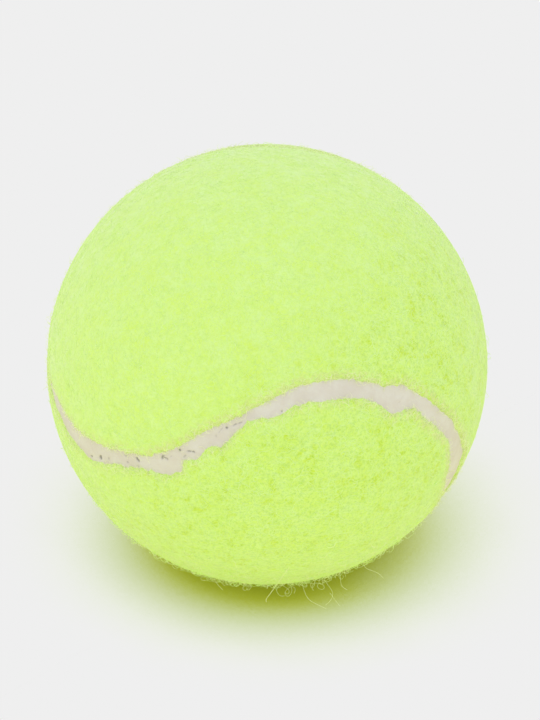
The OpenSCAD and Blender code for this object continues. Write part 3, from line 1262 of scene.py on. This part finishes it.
def stray_paths(elevation):
    """The points of each stray fibre and curl, in the part's frame."""
    steps = 14
    stretch = 1.2
    lift = 2.5
    sway = 0.6
    right, down, near = view_axes(elevation)
    paths = []
    for run in STRAY_FIBRES:
        paths.append([(right * a + down * b + near * c) * MM for a, b, c in run])
    for number, (across, drop, radius, turns) in enumerate(STRAY_CURLS):
        middle = right * across + down * drop
        out = middle.normalized()
        aside = out.cross(near)
        path = []
        for step in range(steps + 1):
            share = step / steps
            angle = 2 * math.pi * turns * share + number
            grown = radius * (0.7 + 0.4 * share + 0.2 * math.sin(2 * angle + 3 * number))
            drift = aside * radius * (share - 0.5) * stretch
            swayed = lift + sway * math.sin(3 * number + angle / 2)
            ring = aside * math.cos(angle) + out * math.sin(angle)
            path.append((middle + drift + ring * grown + near * swayed) * MM)
        paths.append(path)
    return paths


class BALL_OT_add_strays(bpy.types.Operator):
    """Adds the few long fibres that stand out below the ball's outline"""

    bl_idname = "ball.add_strays"
    bl_label = "Add stray fibres"

    def execute(self, context):
        thin_share = 0.55
        longest_share = 1.6
        curve = bpy.data.curves.new("stray_fibres", "CURVE")
        curve.dimensions = "3D"
        curve.bevel_depth = thin_share * context.scene.nap_look.fibre_radius
        curve.bevel_resolution = 1
        curve.resolution_u = 6
        curve.use_fill_caps = True
        for number, path in enumerate(stray_paths(context.scene.stage_look.elevation)):
            spline = curve.splines.new("NURBS")
            spline.points.add(len(path) - 1)
            spline.use_endpoint_u = True
            spline.order_u = 3
            for point, place in zip(spline.points, path):
                point.co = (*place, 1)
                point.radius = 1 if number else longest_share
        holder = new_piece("stray_holder", curve)
        graph = bpy.context.evaluated_depsgraph_get()
        mesh = bpy.data.meshes.new_from_object(holder.evaluated_get(graph), depsgraph=graph)
        bpy.data.objects.remove(holder)
        mesh.name = "stray_fibres"
        mesh.shade_smooth()
        tones = mesh.attributes.new("tone", "FLOAT", "POINT")
        tones.data.foreach_set("value", np.full(len(mesh.vertices), 1.0, np.float32))
        mesh.materials.clear()
        mesh.materials.append(bpy.data.materials["loose_fibres"])
        carry(new_piece("stray_fibres", mesh), "felt")
        return {"FINISHED"}


class BALL_OT_declare_felt(bpy.types.Operator):
    """Finds the fibre pieces that stand on each felt panel, and does nothing more with them"""

    bl_idname = "ball.declare_felt"
    bl_label = "Declare the felt"

    def execute(self, context):
        for name in PANELS:
            nap = [o for o in bpy.data.objects if o.name.startswith(name + "_") and "_felt" not in o.name]
            nap = [o for o in nap if o.name not in frame["nodes"]]
        return {"FINISHED"}


def show_apart(tree, output, unseen, seen):
    """Ends a tree with one shader for the light and one for what is seen, also by gloss and glass."""
    path = add_node(tree, "ShaderNodeLightPath").outputs
    direct = work_out(tree, "MAXIMUM", path["Is Camera Ray"], path["Is Glossy Ray"])
    direct = work_out(tree, "MAXIMUM", direct, path["Is Transmission Ray"])
    mixed = node_out(tree, "ShaderNodeMixShader", {0: direct, 1: unseen, 2: seen})
    add_node(tree, output, {"Surface": mixed})


def shadow_colour(tree):
    """The colour of the floor by how open it lies to the sky, a little more to the front left."""
    pale = bpy.context.scene.stage_look.backdrop
    open_floor = 0.77
    tipped = node_out(tree, "ShaderNodeCombineXYZ", {0: -0.1, 1: -0.3, 2: 1.0})
    inputs = {"Distance": 0.5, "Normal": vector_out(tree, "NORMALIZE", tipped)}
    open_share = add_node(tree, "ShaderNodeAmbientOcclusion", inputs, samples=16).outputs["AO"]
    shade = add_node(tree, "ShaderNodeValToRGB", {"Fac": open_share})
    bar = shade.color_ramp
    bar.interpolation = "LINEAR"
    bar.elements.remove(bar.elements[0])
    bar.elements[0].position = 1.0
    bar.elements[0].color = (pale, pale, pale, 1)
    for place, colour in (*SHADOW_STOPS, (open_floor, (pale, pale, pale))):
        bar.elements.new(place).color = (*colour, 1)
    return shade.outputs["Color"]


def floor_material():
    """A pale floor whose contact shadow takes the ball's own yellow-green."""
    material = bpy.data.materials.new("pale_floor")
    material.use_nodes = True
    tree = material.node_tree
    tree.nodes.clear()
    seen = node_out(tree, "ShaderNodeEmission", {"Color": shadow_colour(tree)})
    glow = bpy.context.scene.stage_look.floor_glow
    # The floor's glow, which only the ball sees, is dimmer near the contact and yellower near the ball: a
    # painted shadow and a painted bounce of the ball's own colour.
    place = add_node(tree, "ShaderNodeNewGeometry").outputs["Position"]
    level = vector_out(tree, "MULTIPLY", place, (1, 1, 0))
    away = add_node(tree, "ShaderNodeVectorMath", {0: level}, operation="LENGTH").outputs["Value"]
    tint = blended(tree, ramp(tree, away, 12 * MM, 60 * MM), (1, 1, 0.06), (1, 1, 0.55))
    strength = ramp(tree, away, 8 * MM, 42 * MM, start=0.4 * glow, end=1.02 * glow)
    unseen = node_out(tree, "ShaderNodeEmission", {"Color": tint, "Strength": strength})
    show_apart(tree, "ShaderNodeOutputMaterial", unseen, seen)
    return material


def pale_world():
    """Even light from above, and a pale backdrop for the camera."""
    look = bpy.context.scene.stage_look
    world = bpy.data.worlds.new("pale_studio")
    world.use_nodes = True
    tree = world.node_tree
    tree.nodes.clear()
    light = node_out(tree, "ShaderNodeBackground", {"Color": (0.97, 0.99, 1, 1), "Strength": look.sky})
    backdrop = node_out(tree, "ShaderNodeBackground", {"Color": (1, 1, 1, 1), "Strength": look.backdrop})
    show_apart(tree, "ShaderNodeOutputWorld", light, backdrop)
    bpy.context.scene.world = world


def looking_at_ball(name, data, place):
    """A camera or lamp at a place, turned to the ball's centre."""
    holder = bpy.data.objects.new(name, data)
    holder.location = place
    holder.rotation_mode = "QUATERNION"
    holder.rotation_quaternion = Vector(place).to_track_quat("Z", "Y")
    bpy.context.scene.collection.objects.link(holder)
    return holder


class BALL_OT_set_stage(bpy.types.Operator):
    """Sets up the camera, the soft light and the pale floor"""

    bl_idname = "ball.set_stage"
    bl_label = "Set the stage"

    def execute(self, context):
        look = context.scene.stage_look
        context.scene.view_settings.view_transform = "Standard"
        camera = bpy.data.cameras.new("camera")
        camera.lens = look.lens
        camera.shift_x = LEFT_OF_MIDDLE / PICTURE_HEIGHT
        camera.shift_y = BELOW_MIDDLE / PICTURE_HEIGHT
        near = view_axes(look.elevation)[2]
        context.scene.camera = looking_at_ball("camera", camera, near * look.distance)
        lamp = bpy.data.lights.new("soft_lamp", "AREA")
        lamp.energy = look.lamp
        lamp.shape = "DISK"
        lamp.size = 0.7
        lamp_place = (-0.2, -0.45, 0.85)
        looking_at_ball("soft_lamp", lamp, lamp_place)
        reach = 4.0
        gap = 0.02 * MM
        level = FLOOR_Z - gap
        corners = [(-reach, -reach), (reach, -reach), (reach, reach), (-reach, reach)]
        mesh = bpy.data.meshes.new("floor")
        mesh.from_pydata([(x, y, level) for x, y in corners], [], [(0, 1, 2, 3)])
        mesh.materials.append(floor_material())
        new_piece("floor", mesh)
        pale_world()
        return {"FINISHED"}


LOOKS = {
    "ball_form": BallForm,
    "felt_look": FeltLook,
    "nap_look": NapLook,
    "seam_look": SeamLook,
    "stage_look": StageLook,
}
STEPS = (
    BALL_OT_set_stage,
    BALL_OT_dress_core,
    BALL_OT_cut_felt,
    BALL_OT_lay_seam,
    BALL_OT_raise_nap,
    BALL_OT_fray_edges,
    BALL_OT_loosen_curls,
    BALL_OT_add_strays,
    BALL_OT_declare_felt,
)


class BALL_PT_dresser(bpy.types.Panel):
    """Lists the steps that dress the ball, with their sizes and colours"""

    bl_idname = "BALL_PT_dresser"
    bl_label = "Tennis ball"
    bl_space_type = "VIEW_3D"
    bl_region_type = "UI"
    bl_category = "Ball"

    def draw(self, context):
        for name in LOOKS:
            box = self.layout.box()
            group = getattr(context.scene, name)
            for key in group.bl_rna.properties.keys():
                if key not in ("rna_type", "name"):
                    box.prop(group, key)
        for step in STEPS:
            self.layout.operator(step.bl_idname)


CLASSES = (*LOOKS.values(), *STEPS, BALL_PT_dresser)


def register():
    """Registers the classes and gives the scene their settings."""
    for kind in CLASSES:
        bpy.utils.register_class(kind)
    for name, kind in LOOKS.items():
        setattr(bpy.types.Scene, name, PointerProperty(type=kind))


def unregister():
    """Takes the settings and the classes out again."""
    for name in LOOKS:
        delattr(bpy.types.Scene, name)
    for kind in reversed(CLASSES):
        bpy.utils.unregister_class(kind)


def main():
    """Dresses the ball."""
    register()
    for step in STEPS:
        area, name = step.bl_idname.split(".")
        getattr(getattr(bpy.ops, area), name)()


if __name__ == "__main__":
    main()
